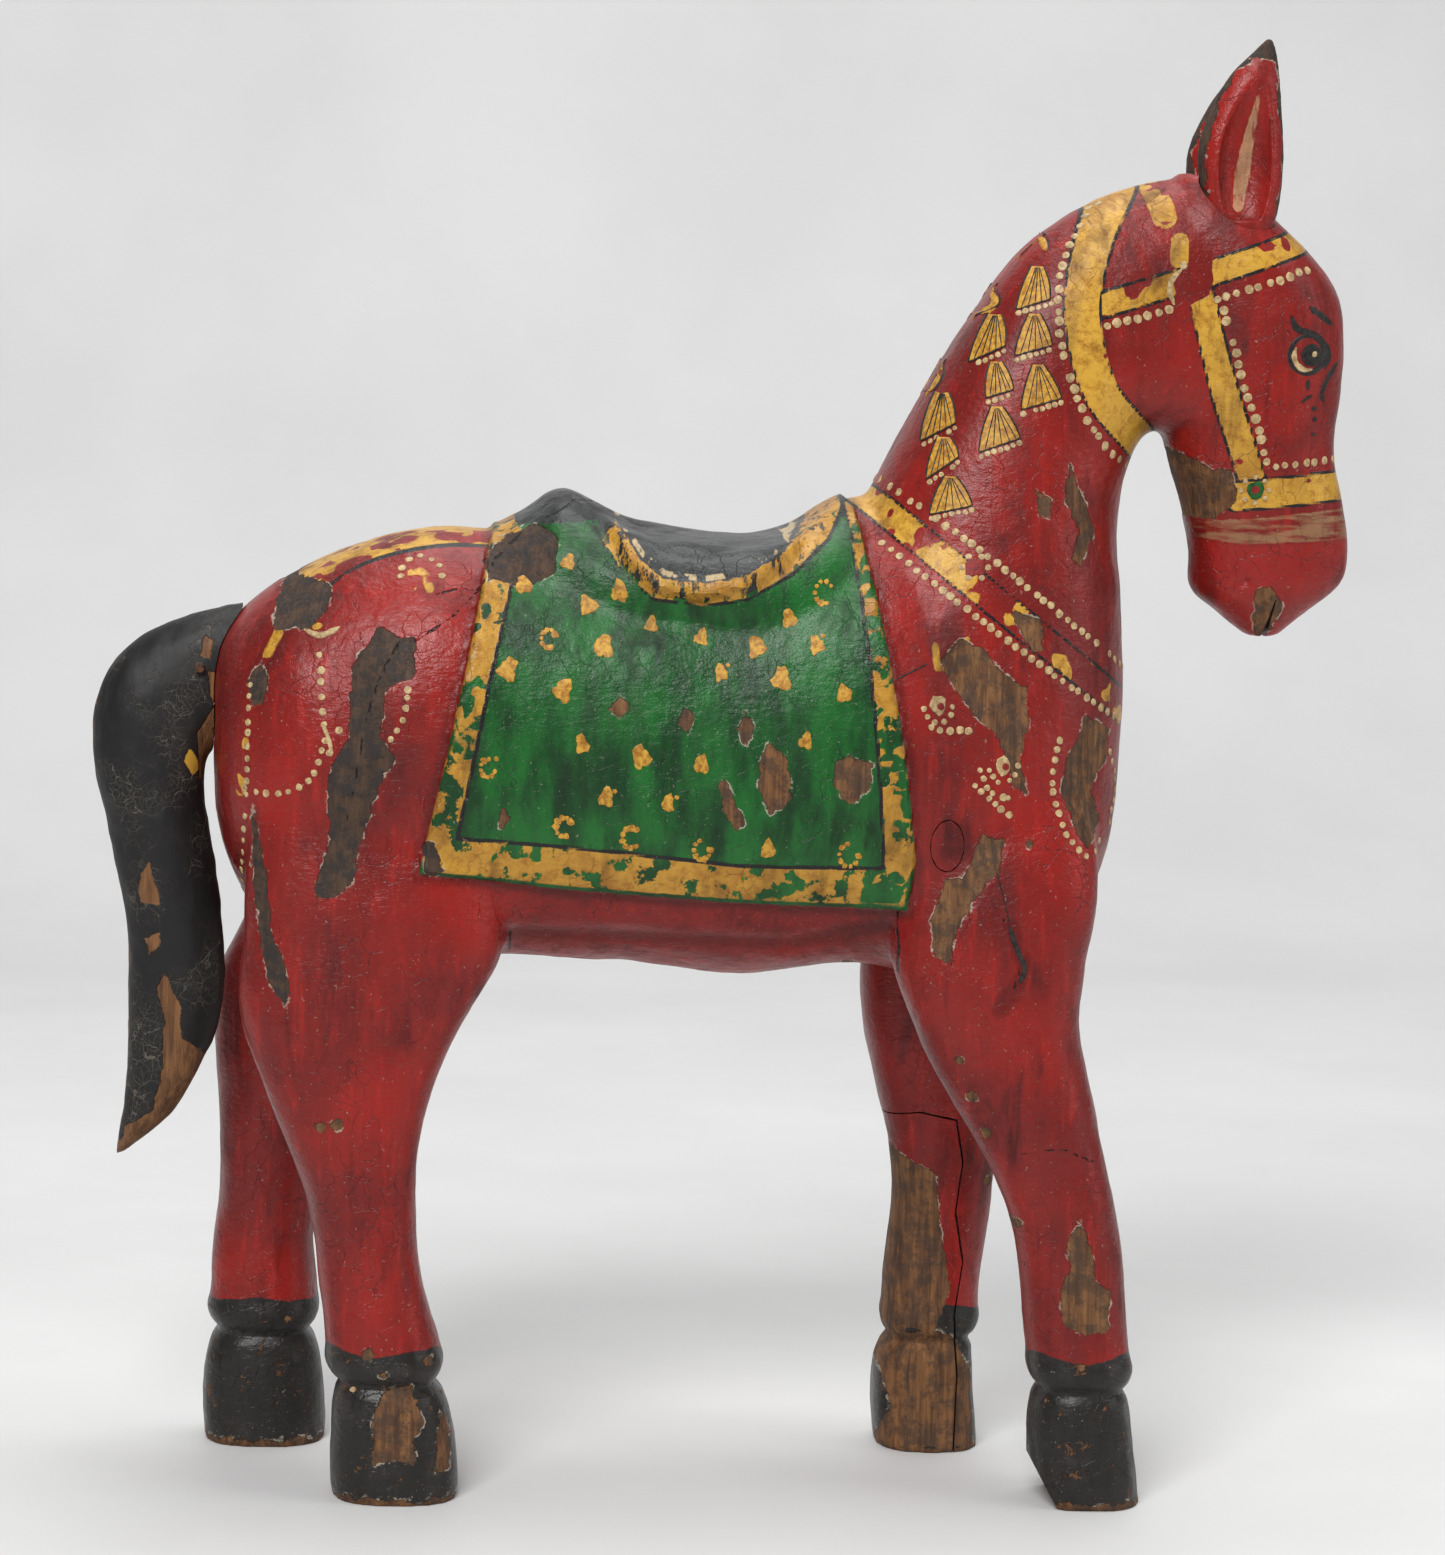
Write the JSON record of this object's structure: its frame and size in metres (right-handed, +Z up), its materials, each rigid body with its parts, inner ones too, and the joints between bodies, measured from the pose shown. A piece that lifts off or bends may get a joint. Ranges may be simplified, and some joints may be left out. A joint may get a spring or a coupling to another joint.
{
  "type": "painted wooden folk horse",
  "caption": "Standing carved wooden horse with arched neck, upright ears, carved saddle and cloth, pegged leg boards and a pegged tail.",
  "frame": {"origin": "on the floor, under the middle of the trunk", "axes": "+X towards the head, +Y towards the far side, +Z up"},
  "size_m": [0.2877, 0.0852, 0.334],
  "materials": {
    "red_painted_wood": "old oil paint, worn through to bare wood",
    "saddle_wood": "dark worn paint with gold edge",
    "black_painted_wood": "black paint with fine cracks",
    "bare_wood": "raw aged wood",
    "iron_nail": "rusted iron"
  },
  "bodies": {
    "root": {"trunk": "red_painted_wood", "saddle": "saddle_wood", "near_fore_leg": "red_painted_wood", "far_fore_leg": "red_painted_wood", "far_fore_leg_slip": "red_painted_wood", "near_hind_leg": "red_painted_wood", "far_hind_leg": "red_painted_wood", "neck_and_head": "red_painted_wood", "near_ear": "red_painted_wood", "far_ear": "red_painted_wood", "tail": "black_painted_wood", "tail_wedge": "bare_wood", "tail_peg": "bare_wood", "tail_nail": "iron_nail", "fore_leg_pegs": "bare_wood", "hind_leg_pegs": "bare_wood", "neck_pegs": "bare_wood", "saddle_pegs": "bare_wood", "ear_pegs": "bare_wood"}
  },
  "joints": []
}
